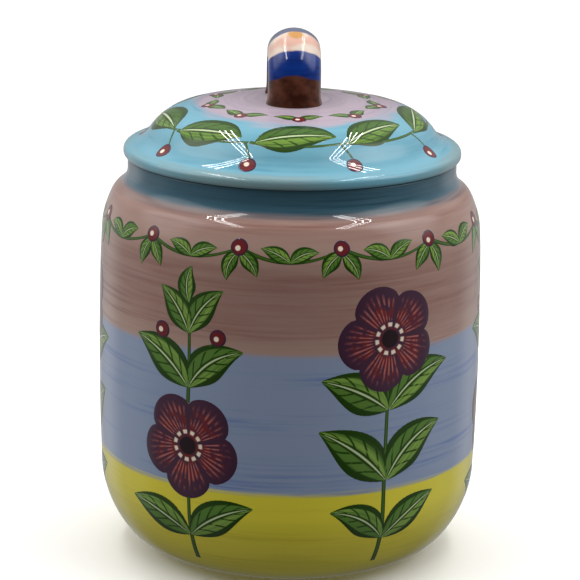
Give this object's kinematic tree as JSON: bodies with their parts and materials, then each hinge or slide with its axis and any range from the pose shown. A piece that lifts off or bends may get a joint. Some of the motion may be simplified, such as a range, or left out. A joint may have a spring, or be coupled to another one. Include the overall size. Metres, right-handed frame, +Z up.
{
  "type": "lidded storage jar",
  "caption": "Round-shouldered glazed earthenware jar with banded colours, a lift-off domed lid that locates in the neck, and a loop handle on the lid.",
  "frame": {"origin": "centre of the foot ring, on the surface that the jar stands on", "axes": "+Z up along the jar's axis; the front is -Y; the loop handle runs from front to back"},
  "size_m": [0.178, 0.178, 0.246],
  "materials": {
    "jar_glaze": "clear gloss glaze over brushed pink, lavender blue and yellow bands",
    "lid_glaze": "clear gloss glaze over brushed turquoise with a mauve crown",
    "handle_glaze": "clear gloss glaze over brown, royal blue and cream stripes",
    "painted_motifs": "clear gloss glaze over hand painted leaves, blossoms and berries"
  },
  "bodies": {
    "vessel": {"jar_body": "jar_glaze"},
    "cover": {"lid": "lid_glaze", "lid_handle": "handle_glaze"}
  },
  "joints": [
    {"name": "lid_lift", "type": "slide", "parent": "vessel", "child": "cover", "axis": [0, 0, 1], "range_m": [0, 0.15]}
  ]
}
